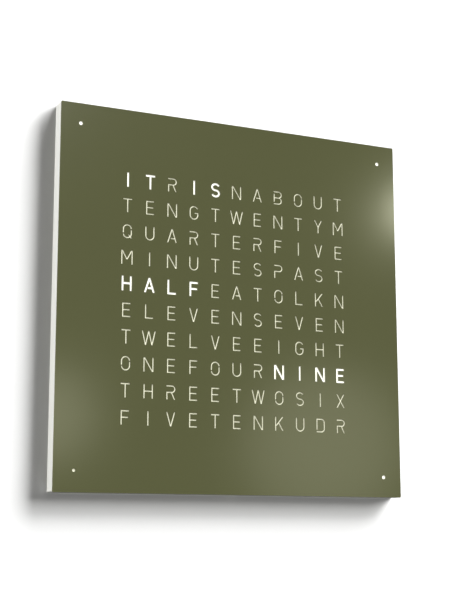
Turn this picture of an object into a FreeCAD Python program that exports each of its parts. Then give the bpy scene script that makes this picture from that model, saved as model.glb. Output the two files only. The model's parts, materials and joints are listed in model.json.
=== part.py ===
import FreeCAD, Part
import math
import os

# Square word clock for a wall. The front looks along -Y, +X is to the right and +Z is up.
# The origin is the centre of the rear face, which lies on the wall at y = 0.

V = FreeCAD.Vector
ALONG_X = V(1, 0, 0)
ALONG_Y = V(0, 1, 0)
ALONG_Z = V(0, 0, 1)

# Case and front cover
FACE_SIZE = 450.0
CLOCK_DEPTH = 20.0
COVER_THICKNESS = 1.0
CORNER_RADIUS = 1.5
REAR_CHAMFER = 0.8
POCKET_CORNER = 4.0
FACETS = 12
SHANK_FACETS = 6
OVERCUT = 1.0
DOT_INSET = 24.4
DOT_HOLE_DIAMETER = 3.6

# Field of letters and the light grid behind it
COLUMNS = 11
ROWS = 10
FIELD_MARGIN = 69.8
CELL_WALL_FRONT = 1.2
CELL_WALL_BASE = 2.6
GRID_FLANGE = 7.0
GRID_FLANGE_THICKNESS = 3.6
GUSSET_THICKNESS = 1.4
GUSSET_DROP = 1.0
GUSSET_STEP = 2
FIT_CLEARANCE = 0.4

# Opal sheet and LED board
DIFFUSER_THICKNESS = 1.5
DIFFUSER_SINK = 0.1
DIFFUSER_LAP = 5.0
BOARD_THICKNESS = 1.6
LEDGE_WIDTH = 9.0
BOARD_HEIGHT = 6.0
LED_SIZE = 5.0
LED_HEIGHT = 1.6

# Rear panel and its screws
PANEL_THICKNESS = 1.5
PANEL_RIM = 9.7
PANEL_CLEARANCE = 0.3
PANEL_CORNER = 8.0
PANEL_SCREW_INSET = 5.0
PANEL_SCREW_OFFSET = 150.0
PANEL_SCREW_LENGTH = 9.0
SCREW_DIAMETER = 3.0
SCREW_HEAD_DIAMETER = 5.8
SMALL_SCREW_DIAMETER = 2.0
SMALL_HEAD_DIAMETER = 3.8
SMALL_HEAD_HEIGHT = 1.3
SMALL_SCREW_BITE = 2.4
SCREW_CLEARANCE = 0.05
HEAD_CLEARANCE = 0.1

# Keyholes in the rear panel
KEYHOLE_INSET = 75.0
KEYHOLE_DROP = 40.0
KEYHOLE_HEAD_DIAMETER = 10.0
KEYHOLE_SLOT_WIDTH = 5.0
KEYHOLE_RISE = 9.0
KEYHOLE_POCKET_MARGIN = 1.5
KEYHOLE_POCKET_DEPTH = 6.0

# Vent slots in the rear panel
VENT_COUNT = 8
VENT_PITCH = 12.0
VENT_WIDTH = 2.6
VENT_LENGTH = 24.0
VENT_HEIGHT = 118.0

# Magnets, and the pins and bushes that place the cover
MAGNET_LENGTH = 20.0
MAGNET_WIDTH = 10.0
MAGNET_THICKNESS = 3.0
MAGNET_SINK = 0.1
MAGNET_CLEARANCE = 0.1
MAGNET_WALL = 12.4
MAGNET_OFFSET = 120.0
PIN_DIAMETER = 5.0
PIN_LENGTH = 6.5
PIN_NOSE = 1.0
PIN_INSET = 20.0
PIN_OFFSET = 100.0
PIN_RUNNING_GAP = 0.1
BUSH_WALL = 1.5
BUSH_DEPTH = 8.0

# Corner minute lights
CORNER_DISC_DIAMETER = 10.8
TUNNEL_DIAMETER = 8.4
CORNER_BOARD_SIZE = 18.0
CORNER_BOARD_FLOOR = 8.0
CORNER_POCKET_MARGIN = 1.2
CORNER_LED_SIZE = 3.5
CORNER_LED_HEIGHT = 1.6

# Leads and their sockets
LEAD_WIDTH = 3.0
LEAD_THICKNESS = 1.2
LEAD_CLEARANCE = 0.4
CORNER_LEAD_HEIGHT = 3.6
SOCKET_LENGTH = 6.0
SOCKET_WIDTH = 5.0
SOCKET_HEIGHT = 3.0
LED_SOCKET_INSET = 14.0

# Controller in the lower rim
CONTROLLER_WIDTH = 158.0
CONTROLLER_HEIGHT = 22.0
CONTROLLER_MARGIN = 1.0
CONTROLLER_WALL = 3.4
CONTROLLER_DEPTH = 13.4
POST_HEIGHT = 2.0
POST_SIZE = 6.0
POST_INSET = 4.5
CHIP_SIZE = 10.0
CHIP_HEIGHT = 1.6
DRIVER_LENGTH = 6.5
DRIVER_COUNT = 3
CRYSTAL_LENGTH = 9.0
CRYSTAL_WIDTH = 4.0
CRYSTAL_HEIGHT = 3.4
CAPACITOR_DIAMETER = 6.3
CAPACITOR_HEIGHT = 5.8
CHOKE_SIZE = 8.0
CHOKE_HEIGHT = 4.0
CELL_DIAMETER = 12.5
CELL_HEIGHT = 2.0
HOLDER_WIDTH = 16.0
HOLDER_FLOOR = 0.8
HOLDER_GAP = 0.15

# Ribbon cable from the controller to the LED board
RIBBON_WIDTH = 14.0
RIBBON_THICKNESS = 0.4
RIBBON_SOCKET_WIDTH = 17.0
RIBBON_SOCKET_DEPTH = 5.0
RIBBON_SOCKET_HEIGHT = 2.4

# Power inlet, plug bay and cable slot
INLET_WIDTH = 9.0
INLET_TALL = 10.4
INLET_LENGTH = 14.0
INLET_EAR = 1.6
INLET_EAR_THICKNESS = 1.2
INLET_BORE_DIAMETER = 6.0
INLET_BORE_DEPTH = 10.0
INLET_PIN_DIAMETER = 2.0
INLET_PIN_RECESS = 1.0
INLET_FOOT_GAP = 0.2
BAY_WIDTH = 13.0
BAY_WALL = 9.0
CABLE_SLOT_WIDTH = 6.5
CABLE_SLOT_DEPTH = 7.0

# Setting buttons in the right side
BUTTON_RISE = 125.0
BUTTON_PITCH = 16.0
BUTTON_Y = -9.5
BUTTON_DIAMETER = 6.6
BUTTON_GAP = 0.3
BUTTON_RECESS = 0.4
BUTTON_ROUND = 0.8
BUTTON_SKIN = 3.0
BUTTON_FLANGE_DIAMETER = 8.6
BUTTON_FLANGE_THICKNESS = 1.2
BUTTON_STEM_WIDTH = 4.0
BUTTON_TRAVEL = 0.6
SWITCH_SIZE = 6.0
SWITCH_HEIGHT = 3.5
SWITCH_STEM_WIDTH = 3.4
SWITCH_STEM_HEIGHT = 1.2
SWITCH_STEM_GAP = 0.1
BUTTON_POCKET_INNER = 25.0
BUTTON_POCKET_OUTER = 10.5
BUTTON_SOCKET_GAP = 2.0
BUTTON_POCKET_DEPTH = 15.5
BUTTON_BOARD_GROOVE = 2.0
BUTTON_BOARD_INSET = 0.6
BUTTON_BOARD_GAP = 0.2
BUTTON_LEAD_DEPTH = 7.4
BUTTON_LEAD_BEND = 20.0

# Values that follow from the sizes above
HALF = FACE_SIZE / 2
FIELD_SIZE = FACE_SIZE - 2 * FIELD_MARGIN
FRAME_FRONT = -(CLOCK_DEPTH - COVER_THICKNESS)
DIFFUSER_FRONT = FRAME_FRONT + DIFFUSER_SINK
DIFFUSER_REAR = DIFFUSER_FRONT + DIFFUSER_THICKNESS
LED_BOARD_REAR = -BOARD_HEIGHT
LED_BOARD_FRONT = LED_BOARD_REAR - BOARD_THICKNESS
GRID_SIZE = FIELD_SIZE + 2 * GRID_FLANGE
GRID_POCKET = GRID_SIZE + 2 * FIT_CLEARANCE
REAR_OPENING = GRID_POCKET - 2 * LEDGE_WIDTH
DIFFUSER_REBATE = GRID_POCKET + 2 * DIFFUSER_LAP
MAGNET_LINE = DIFFUSER_REBATE / 2 + MAGNET_WALL + MAGNET_WIDTH / 2
PANEL_FRONT = -PANEL_THICKNESS
PANEL_REAR = 0.0
PANEL_REBATE = FACE_SIZE - 2 * PANEL_RIM
PANEL_SIZE = PANEL_REBATE - 2 * PANEL_CLEARANCE
PANEL_SCREW_LINE = PANEL_SIZE / 2 - PANEL_SCREW_INSET
PITCH_X = FIELD_SIZE / COLUMNS
PITCH_Z = FIELD_SIZE / ROWS
DOT_OFFSET = HALF - DOT_INSET
FLANGE_LINE = (FIELD_SIZE + GRID_FLANGE) / 2
KEYHOLE_X = HALF - KEYHOLE_INSET
KEYHOLE_TOP = HALF - KEYHOLE_DROP
KEYHOLE_ENTRY = KEYHOLE_TOP - KEYHOLE_RISE
CORNER_POCKET_FLOOR = -CORNER_BOARD_FLOOR
CORNER_BOARD_REAR = CORNER_POCKET_FLOOR + BOARD_THICKNESS
POCKET_TOP = -(GRID_POCKET / 2 + CONTROLLER_WALL)
POCKET_HEIGHT = CONTROLLER_HEIGHT + 2 * CONTROLLER_MARGIN
POCKET_BOTTOM = POCKET_TOP - POCKET_HEIGHT
POCKET_WIDTH = CONTROLLER_WIDTH + 2 * CONTROLLER_MARGIN
CONTROLLER_Z = POCKET_TOP - POCKET_HEIGHT / 2
CONTROLLER_FRONT = -CONTROLLER_DEPTH + POST_HEIGHT
CONTROLLER_REAR = CONTROLLER_FRONT + BOARD_THICKNESS
INLET_FRONT = -CONTROLLER_DEPTH + INLET_FOOT_GAP
INLET_AXIS_Y = INLET_FRONT + INLET_TALL / 2
BAY_BOTTOM = -HALF + BAY_WALL
BUTTON_CENTRE_Z = BUTTON_RISE - HALF
BUTTON_SHOULDER = HALF - BUTTON_SKIN
BUTTON_POCKET_LENGTH = 2 * (BUTTON_PITCH + SWITCH_SIZE / 2 + BUTTON_SOCKET_GAP + SOCKET_WIDTH)
BUTTON_POCKET_X0 = HALF - BUTTON_POCKET_INNER
BUTTON_POCKET_X1 = HALF - BUTTON_POCKET_OUTER
BUTTON_BOARD_X = BUTTON_POCKET_X0 + BUTTON_BOARD_INSET
SWITCH_BASE_X = BUTTON_BOARD_X + BOARD_THICKNESS
SWITCH_TOP_X = SWITCH_BASE_X + SWITCH_HEIGHT
STEM_TIP_X = SWITCH_TOP_X + SWITCH_STEM_HEIGHT
BUTTON_POCKET_LOW = BUTTON_CENTRE_Z - BUTTON_POCKET_LENGTH / 2
LEAD_X = SWITCH_BASE_X + SOCKET_HEIGHT / 2
BUTTON_LEAD_Y = -(BUTTON_LEAD_DEPTH + LEAD_THICKNESS / 2)
BUTTON_SOCKET_END = CONTROLLER_WIDTH / 2 - CONTROLLER_MARGIN


def block(x0, x1, y0, y1, z0, z1):
    """A box between two corners."""
    return Part.makeBox(x1 - x0, y1 - y0, z1 - z0, V(x0, y0, z0))


def block_at(x, z, width, height, y0, y1):
    """A box centred on x and z, from y0 back to y1."""
    return block(x - width / 2, x + width / 2, y0, y1, z - height / 2, z + height / 2)


def rod(diameter, x, z, y0, y1):
    """A round bar along Y."""
    return Part.makeCylinder(diameter / 2, y1 - y0, V(x, y0, z), ALONG_Y)


def rod_x(diameter, y, z, x0, x1):
    """A round bar along X."""
    return Part.makeCylinder(diameter / 2, x1 - x0, V(x0, y, z), ALONG_X)


def along_y(body):
    """The edges of a box that run along Y."""
    return [e for e in body.Edges if abs(e.tangentAt(e.FirstParameter).y) > 0.9]


def plate(width, height, radius, y0, y1):
    """A plate with rounded corners that faces along Y."""
    body = block_at(0, 0, width, height, y0, y1)
    return body.makeFillet(radius, along_y(body))


def cut_plate(width, height, corner, y0, y1, x=0.0, z=0.0):
    """A plate or pocket with its corners cut off at 45 degrees."""
    body = block_at(x, z, width, height, y0, y1)
    return body.makeChamfer(corner, along_y(body))


def prism(sides, base, axis, side, length, start, end):
    """A many-sided bar or taper along an axis, used for small round things that repeat."""
    rings = []
    for along, diameter in ((0, start), (length, end)):
        rotation = [FreeCAD.Rotation(axis, 360 * i / sides) for i in range(sides)]
        points = [base + axis * along + turn.multVec(side) * (diameter / 2) for turn in rotation]
        rings.append(Part.makePolygon(points + [points[0]]))
    return Part.makeLoft(rings, True, True)


def shank(diameter, x, z, y0, y1):
    """A screw's shank, or the hole for one."""
    return prism(SHANK_FACETS, V(x, y0, z), ALONG_Y, ALONG_X, y1 - y0, diameter, diameter)


def faceted_rod(diameter, x, z, y0, y1):
    """A small hidden disc or bore along Y."""
    return prism(FACETS, V(x, y0, z), ALONG_Y, ALONG_X, y1 - y0, diameter, diameter)


def slot_along_z(width, x, z0, z1, y0, y1):
    """A slot with round ends, from the centre of one end to the other."""
    middle = block_at(x, (z0 + z1) / 2, width, z1 - z0, y0, y1)
    return middle.fuse([rod(width, x, z0, y0, y1), rod(width, x, z1, y0, y1)]).removeSplitter()


def turned(profile, base, axis, side):
    """A solid of revolution from pairs of distance along the axis and radius."""
    points = [base + axis * along + side * radius for along, radius in profile]
    face = Part.Face(Part.makePolygon(points + [points[0]]))
    return face.revolve(base, axis, 360)


def tapered_well(x, z, front, rear, y0, y1):
    """A rectangular well that narrows from its front size to its rear size."""
    return Part.makeWedge(
        x - front[0] / 2, y0, z - front[1] / 2, z - rear[1] / 2, x - rear[0] / 2,
        x + front[0] / 2, y1, z + front[1] / 2, z + rear[1] / 2, x + rear[0] / 2)


def joined(first, others):
    """One solid from pieces that touch or overlap."""
    return first.fuse(others).removeSplitter()


def save(node, shape):
    """Write one node, a single solid or a group of separate solids."""
    shape.exportStep("parts/" + node + ".step")


def save_group(node, shapes):
    save(node, Part.makeCompound(shapes))


def cells():
    """Centres of the light cells, row by row from the top."""
    for row in range(ROWS):
        for column in range(COLUMNS):
            x = (column - (COLUMNS - 1) / 2) * PITCH_X
            z = ((ROWS - 1) / 2 - row) * PITCH_Z
            yield x, z


def corners(offset):
    """The four corners of a square, as signs and places."""
    for sx in (-1, 1):
        for sz in (-1, 1):
            yield sx * offset, sz * offset


def around(offsets, line):
    """Places at the given offsets along all four sides of a square."""
    for offset in offsets:
        for side in (-line, line):
            yield offset, side
            yield side, offset


def cell_places(count, pitch):
    """Middles of the second and the last but one cell of a row or column."""
    return [(index - (count - 1) / 2) * pitch for index in (1, count - 2)]


def grid_screw_places():
    """Screws in the grid's flange, each beside the middle of a cell, clear of the gussets."""
    places = [(x, side) for x in cell_places(COLUMNS, PITCH_X) for side in (-FLANGE_LINE, FLANGE_LINE)]
    places += [(side, z) for z in cell_places(ROWS, PITCH_Z) for side in (-FLANGE_LINE, FLANGE_LINE)]
    return places


def panel_screw_places():
    return list(around((-PANEL_SCREW_OFFSET, PANEL_SCREW_OFFSET), PANEL_SCREW_LINE))


def controller_screw_places():
    dx = CONTROLLER_WIDTH / 2 - POST_INSET
    dz = CONTROLLER_HEIGHT / 2 - POST_INSET
    return [(sx * dx, CONTROLLER_Z + sz * dz) for sx in (-1, 1) for sz in (-1, 1)]


def button_heights():
    return [BUTTON_CENTRE_Z + step * BUTTON_PITCH for step in (1, 0, -1)]


def pin_places():
    """The cover hangs on two pins near its top edge."""
    return [(sx * PIN_OFFSET, HALF - PIN_INSET) for sx in (-1, 1)]


def magnet_blocks(clearance, y0, y1):
    """Bar magnets along the four sides, or their pockets when given a clearance."""
    blocks = []
    for offset in (-MAGNET_OFFSET, 0.0, MAGNET_OFFSET):
        for side in (-MAGNET_LINE, MAGNET_LINE):
            length = MAGNET_LENGTH + 2 * clearance
            width = MAGNET_WIDTH + 2 * clearance
            blocks.append(block_at(offset, side, length, width, y0, y1))
            blocks.append(block_at(side, offset, width, length, y0, y1))
    return blocks


def diagonal_bar(x, z, start, end, width, y0, y1):
    """A bar from one distance to another along the diagonal through a corner."""
    bar = block(start, end, y0, y1, -width / 2, width / 2)
    bar.rotate(V(0, 0, 0), ALONG_Y, -math.degrees(math.atan2(z, x)))
    return bar


def button_lead_path():
    """Middle line of the button lead: along the lower rim, then up to the button pocket."""
    low = CONTROLLER_Z
    turn_x = LEAD_X - BUTTON_LEAD_BEND
    turn_z = low + BUTTON_LEAD_BEND
    mid = BUTTON_LEAD_BEND * (1 - 2 ** -0.5)
    start = V(BUTTON_SOCKET_END, BUTTON_LEAD_Y, low)
    corner_start = V(turn_x, BUTTON_LEAD_Y, low)
    corner_mid = V(LEAD_X - mid, BUTTON_LEAD_Y, low + mid)
    corner_end = V(LEAD_X, BUTTON_LEAD_Y, turn_z)
    end = V(LEAD_X, BUTTON_LEAD_Y, BUTTON_POCKET_LOW)
    return Part.Wire([
        Part.LineSegment(start, corner_start).toShape(),
        Part.Arc(corner_start, corner_mid, corner_end).toShape(),
        Part.LineSegment(corner_end, end).toShape()])


def button_lead_sweep(width, y0, y1, path):
    """A flat section carried along the button lead's middle line."""
    x = BUTTON_SOCKET_END
    z0 = CONTROLLER_Z - width / 2
    z1 = CONTROLLER_Z + width / 2
    section = Part.makePolygon([V(x, y0, z0), V(x, y1, z0), V(x, y1, z1), V(x, y0, z1), V(x, y0, z0)])
    return path.makePipeShell([section], True, False)


def body_frame():
    """The case: a square rim with milled steps, pockets, bores and lead channels."""
    shape = plate(FACE_SIZE, FACE_SIZE, CORNER_RADIUS, FRAME_FRONT, 0.0)
    rear_edges = [e for e in shape.Edges if e.BoundBox.YMin > -0.01]
    shape = shape.makeChamfer(REAR_CHAMFER, rear_edges)
    cuts = [
        cut_plate(DIFFUSER_REBATE, DIFFUSER_REBATE, POCKET_CORNER, FRAME_FRONT, DIFFUSER_REAR),
        cut_plate(GRID_POCKET, GRID_POCKET, POCKET_CORNER, FRAME_FRONT, LED_BOARD_REAR),
        cut_plate(REAR_OPENING, REAR_OPENING, POCKET_CORNER, FRAME_FRONT, 0.0),
        plate(PANEL_REBATE, PANEL_REBATE, PANEL_CORNER, PANEL_FRONT, 0.0)]
    shape = shape.cut(cuts)
    shape = shape.cut(corner_light_cuts())
    shape = shape.cut(screw_and_magnet_cuts())
    shape = shape.cut(keyhole_pockets())
    shape = shape.cut(button_cuts())
    shape = cut_controller_pocket(shape)
    return shape.removeSplitter()


def corner_light_cuts():
    cuts = []
    pocket = CORNER_BOARD_SIZE + 2 * CORNER_POCKET_MARGIN
    channel = LEAD_WIDTH + 2 * LEAD_CLEARANCE
    floor = -(CORNER_LEAD_HEIGHT + LEAD_THICKNESS + LEAD_CLEARANCE)
    inner = REAR_OPENING / 2 - LEDGE_WIDTH
    for x, z in corners(DOT_OFFSET):
        cuts.append(faceted_rod(CORNER_DISC_DIAMETER + FIT_CLEARANCE, x, z, FRAME_FRONT, DIFFUSER_REAR))
        cuts.append(faceted_rod(TUNNEL_DIAMETER, x, z, FRAME_FRONT, CORNER_POCKET_FLOOR))
        cuts.append(block_at(x, z, pocket, pocket, CORNER_POCKET_FLOOR, PANEL_FRONT))
        start = inner * 2 ** 0.5
        end = DOT_OFFSET * 2 ** 0.5
        cuts.append(diagonal_bar(x, z, start, end, channel, floor, PANEL_FRONT))
    return cuts


def screw_and_magnet_cuts():
    cuts = magnet_blocks(MAGNET_CLEARANCE, FRAME_FRONT, FRAME_FRONT + MAGNET_SINK + MAGNET_THICKNESS)
    thread = SCREW_DIAMETER + 2 * SCREW_CLEARANCE
    small = SMALL_SCREW_DIAMETER + 2 * SCREW_CLEARANCE
    bite = SMALL_SCREW_BITE + SCREW_CLEARANCE
    tip = PANEL_REAR - PANEL_SCREW_LENGTH - HEAD_CLEARANCE
    for x, z in panel_screw_places():
        cuts.append(shank(thread, x, z, tip, PANEL_FRONT))
    for x, z in grid_screw_places():
        cuts.append(shank(small, x, z, LED_BOARD_REAR, LED_BOARD_REAR + bite))
    outer = PIN_DIAMETER + 2 * PIN_RUNNING_GAP + 2 * BUSH_WALL
    for x, z in pin_places():
        cuts.append(faceted_rod(outer, x, z, FRAME_FRONT, FRAME_FRONT + BUSH_DEPTH))
    return cuts


def keyhole_pockets():
    """Room behind each keyhole for the head of a wall screw."""
    width = KEYHOLE_HEAD_DIAMETER + 2 * KEYHOLE_POCKET_MARGIN
    low = KEYHOLE_ENTRY - width / 2
    high = KEYHOLE_TOP + width / 2
    middle = (low + high) / 2
    corner = KEYHOLE_POCKET_MARGIN
    bottom = PANEL_FRONT - KEYHOLE_POCKET_DEPTH
    return [cut_plate(width, high - low, corner, bottom, PANEL_FRONT, sx * KEYHOLE_X, middle)
            for sx in (-1, 1)]


def button_cuts():
    """The pocket for the button board, its grooves, and a stepped bore for each button."""
    middle = (BUTTON_POCKET_X0 + BUTTON_POCKET_X1) / 2
    width = BUTTON_POCKET_X1 - BUTTON_POCKET_X0
    groove = BOARD_THICKNESS + 2 * BUTTON_BOARD_GAP
    groove_x = BUTTON_BOARD_X - BUTTON_BOARD_GAP
    groove_half = BUTTON_POCKET_LENGTH / 2 + BUTTON_BOARD_GROOVE
    cuts = [
        block_at(middle, BUTTON_CENTRE_Z, width, BUTTON_POCKET_LENGTH, -BUTTON_POCKET_DEPTH, PANEL_FRONT),
        block(groove_x, groove_x + groove, -BUTTON_POCKET_DEPTH, PANEL_FRONT,
              BUTTON_CENTRE_Z - groove_half, BUTTON_CENTRE_Z + groove_half)]
    for z in button_heights():
        hole = BUTTON_DIAMETER + 2 * BUTTON_GAP
        guide = BUTTON_FLANGE_DIAMETER + 2 * BUTTON_GAP
        cuts.append(rod_x(hole, BUTTON_Y, z, BUTTON_SHOULDER - OVERCUT, HALF + OVERCUT))
        reach = BUTTON_SHOULDER - BUTTON_POCKET_X1 + OVERCUT
        guide_base = V(BUTTON_SHOULDER - reach, BUTTON_Y, z)
        cuts.append(prism(FACETS, guide_base, ALONG_X, ALONG_Z, reach, guide, guide))
        mouth = [(0, 0), (0, hole / 2 + BUTTON_ROUND), (-BUTTON_ROUND, hole / 2), (-BUTTON_ROUND, 0)]
        cuts.append(turned(mouth, V(HALF, BUTTON_Y, z), ALONG_X, ALONG_Z))
    return cuts


def cut_controller_pocket(shape):
    """The pocket for the controller, its posts, the plug bay, the cable slot and two channels."""
    floor = -CONTROLLER_DEPTH
    lead_channel = LEAD_WIDTH + 2 * LEAD_CLEARANCE
    lead_floor = -(BUTTON_LEAD_DEPTH + LEAD_THICKNESS + LEAD_CLEARANCE)
    ribbon_channel = RIBBON_WIDTH + 2 * CONTROLLER_MARGIN
    ribbon_floor = -BOARD_HEIGHT + FIT_CLEARANCE
    ribbon_x = left_places()[0]
    cuts = [
        block_at(0, CONTROLLER_Z, POCKET_WIDTH, POCKET_HEIGHT, floor, PANEL_FRONT),
        block(-BAY_WIDTH / 2, BAY_WIDTH / 2, floor, 0.0, BAY_BOTTOM, POCKET_BOTTOM + OVERCUT),
        block(-CABLE_SLOT_WIDTH / 2, CABLE_SLOT_WIDTH / 2, -CABLE_SLOT_DEPTH, 0.0, -HALF - OVERCUT,
              BAY_BOTTOM + OVERCUT),
        block(ribbon_x - ribbon_channel / 2, ribbon_x + ribbon_channel / 2, ribbon_floor, PANEL_FRONT,
              POCKET_TOP - OVERCUT, -REAR_OPENING / 2 + OVERCUT),
        button_lead_sweep(lead_channel, lead_floor, PANEL_FRONT, button_lead_path())]
    shape = shape.cut(cuts)
    posts = [block_at(x, z, POST_SIZE, POST_SIZE, floor, floor + POST_HEIGHT)
             for x, z in controller_screw_places()]
    shape = shape.fuse(posts)
    holes = [shank(SMALL_SCREW_DIAMETER + 2 * SCREW_CLEARANCE, x, z,
                   CONTROLLER_FRONT - SMALL_SCREW_BITE - SCREW_CLEARANCE, CONTROLLER_FRONT)
             for x, z in controller_screw_places()]
    return shape.cut(holes)


def front_cover():
    """The steel sheet, with a hole for each minute dot."""
    sheet = plate(FACE_SIZE, FACE_SIZE, CORNER_RADIUS, -CLOCK_DEPTH, FRAME_FRONT)
    holes = [rod(DOT_HOLE_DIAMETER, x, z, -CLOCK_DEPTH, FRAME_FRONT) for x, z in corners(DOT_OFFSET)]
    return sheet.cut(holes)


def cover_pins():
    """Twelve-sided pins welded to the back of the cover, with tapered noses."""
    pins = []
    shoulder = FRAME_FRONT + PIN_LENGTH - PIN_NOSE
    tip = PIN_DIAMETER - 2 * PIN_NOSE
    for x, z in pin_places():
        body = faceted_rod(PIN_DIAMETER, x, z, FRAME_FRONT, shoulder)
        nose = prism(FACETS, V(x, shoulder, z), ALONG_Y, ALONG_X, PIN_NOSE, PIN_DIAMETER, tip)
        pins.append(joined(body, [nose]))
    return pins


def pin_bushes():
    """Brass sleeves pressed into the frame, twelve-sided like the pins that slide in them."""
    inner = PIN_DIAMETER + 2 * PIN_RUNNING_GAP
    outer = inner + 2 * BUSH_WALL
    front = FRAME_FRONT + MAGNET_SINK
    rear = FRAME_FRONT + BUSH_DEPTH
    return [faceted_rod(outer, x, z, front, rear).cut(faceted_rod(inner, x, z, front, rear))
            for x, z in pin_places()]


def light_grid():
    """The grid of tapered light cells, braced on a flange that screws through the LED board."""
    outer = FIELD_SIZE + CELL_WALL_FRONT
    core = block_at(0, 0, outer, outer, DIFFUSER_REAR, LED_BOARD_FRONT)
    flange_front = LED_BOARD_FRONT - GRID_FLANGE_THICKNESS
    flange = cut_plate(GRID_SIZE, GRID_SIZE, POCKET_CORNER, flange_front, LED_BOARD_FRONT)
    shape = joined(core, [flange] + gussets(flange_front))
    front = (PITCH_X - CELL_WALL_FRONT, PITCH_Z - CELL_WALL_FRONT)
    rear = (PITCH_X - CELL_WALL_BASE, PITCH_Z - CELL_WALL_BASE)
    wells = [tapered_well(x, z, front, rear, DIFFUSER_REAR, LED_BOARD_FRONT) for x, z in cells()]
    hole = SMALL_SCREW_DIAMETER + 2 * HEAD_CLEARANCE
    holes = [shank(hole, x, z, flange_front, LED_BOARD_FRONT) for x, z in grid_screw_places()]
    return shape.cut(wells + holes)


def gussets(flange_front):
    """Sloped ribs that brace the outer wall on the flange, on every second inner wall line."""
    wall = (FIELD_SIZE + CELL_WALL_FRONT) / 2
    reach = GRID_SIZE / 2 - FIT_CLEARANCE
    top = DIFFUSER_REAR + GUSSET_DROP
    ribs = []
    for index in range(1, COLUMNS, GUSSET_STEP):
        x = (index - COLUMNS / 2) * PITCH_X
        for side in (-1, 1):
            points = [V(x, top, side * wall), V(x, flange_front, side * wall),
                      V(x, flange_front, side * reach), V(x, top, side * wall)]
            ribs.append(rib(points, ALONG_X))
    for index in range(1, ROWS, GUSSET_STEP):
        z = (index - ROWS / 2) * PITCH_Z
        for side in (-1, 1):
            points = [V(side * wall, top, z), V(side * wall, flange_front, z),
                      V(side * reach, flange_front, z), V(side * wall, top, z)]
            ribs.append(rib(points, ALONG_Z))
    return ribs


def rib(points, direction):
    face = Part.Face(Part.makePolygon(points))
    solid = face.extrude(direction * GUSSET_THICKNESS)
    solid.translate(direction * (-GUSSET_THICKNESS / 2))
    return solid


def diffuser_sheet():
    size = DIFFUSER_REBATE - 2 * FIT_CLEARANCE
    return cut_plate(size, size, POCKET_CORNER, DIFFUSER_FRONT, DIFFUSER_REAR)


def led_board():
    board = cut_plate(GRID_SIZE, GRID_SIZE, POCKET_CORNER, LED_BOARD_FRONT, LED_BOARD_REAR)
    hole = SMALL_SCREW_DIAMETER + 2 * HEAD_CLEARANCE
    return board.cut([shank(hole, x, z, LED_BOARD_FRONT, LED_BOARD_REAR) for x, z in grid_screw_places()])


def small_screw(x, z, seat, facing, grip):
    """A pan-head screw: seat is the face under its head, facing is the way its head points."""
    r = SMALL_SCREW_DIAMETER
    direction = ALONG_Y * facing
    head = prism(FACETS, V(x, seat, z), direction, ALONG_X, SMALL_HEAD_HEIGHT,
                 SMALL_HEAD_DIAMETER, SMALL_HEAD_DIAMETER - SMALL_HEAD_HEIGHT)
    body = prism(SHANK_FACETS, V(x, seat, z), direction * -1, ALONG_X, grip + SMALL_SCREW_BITE, r, r)
    return head.fuse(body)


def panel_screw(x, z):
    """A countersunk screw, flush with the rear panel."""
    depth = (SCREW_HEAD_DIAMETER - SCREW_DIAMETER) / 2
    head = prism(FACETS, V(x, PANEL_REAR, z), ALONG_Y * -1, ALONG_X, depth, SCREW_HEAD_DIAMETER, SCREW_DIAMETER)
    body = shank(SCREW_DIAMETER, x, z, PANEL_REAR - PANEL_SCREW_LENGTH, PANEL_REAR - depth)
    return head.fuse(body)


def rear_panel():
    """The rear sheet: keyholes, vent slots, countersunk holes and a notch for the plug."""
    sheet = plate(PANEL_SIZE, PANEL_SIZE, PANEL_CORNER - PANEL_CLEARANCE, PANEL_FRONT, PANEL_REAR)
    cuts = [block(-BAY_WIDTH / 2, BAY_WIDTH / 2, PANEL_FRONT, PANEL_REAR, -HALF, POCKET_BOTTOM)]
    narrow = SCREW_DIAMETER + 2 * HEAD_CLEARANCE
    wide = SCREW_HEAD_DIAMETER + 2 * HEAD_CLEARANCE
    for x, z in panel_screw_places():
        cuts.append(prism(FACETS, V(x, PANEL_REAR, z), ALONG_Y * -1, ALONG_X, PANEL_THICKNESS, wide, narrow))
    for sx in (-1, 1):
        x = sx * KEYHOLE_X
        cuts.append(rod(KEYHOLE_HEAD_DIAMETER, x, KEYHOLE_ENTRY, PANEL_FRONT, PANEL_REAR))
        cuts.append(slot_along_z(KEYHOLE_SLOT_WIDTH, x, KEYHOLE_ENTRY, KEYHOLE_TOP, PANEL_FRONT, PANEL_REAR))
    for index in range(VENT_COUNT):
        x = (index - (VENT_COUNT - 1) / 2) * VENT_PITCH
        for z in (-VENT_HEIGHT, VENT_HEIGHT):
            cuts.append(block_at(x, z, VENT_WIDTH, VENT_LENGTH, PANEL_FRONT, PANEL_REAR))
    return sheet.cut(cuts)


def corner_board(x, z):
    return block_at(x, z, CORNER_BOARD_SIZE, CORNER_BOARD_SIZE, CORNER_POCKET_FLOOR, CORNER_BOARD_REAR)


def lead_ends():
    """Where a corner lead starts and ends, as distances along the diagonal."""
    inner = (GRID_SIZE / 2 - LED_SOCKET_INSET) * 2 ** 0.5 + SOCKET_LENGTH / 2
    outer = DOT_OFFSET * 2 ** 0.5 - SOCKET_LENGTH
    return inner, outer


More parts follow.
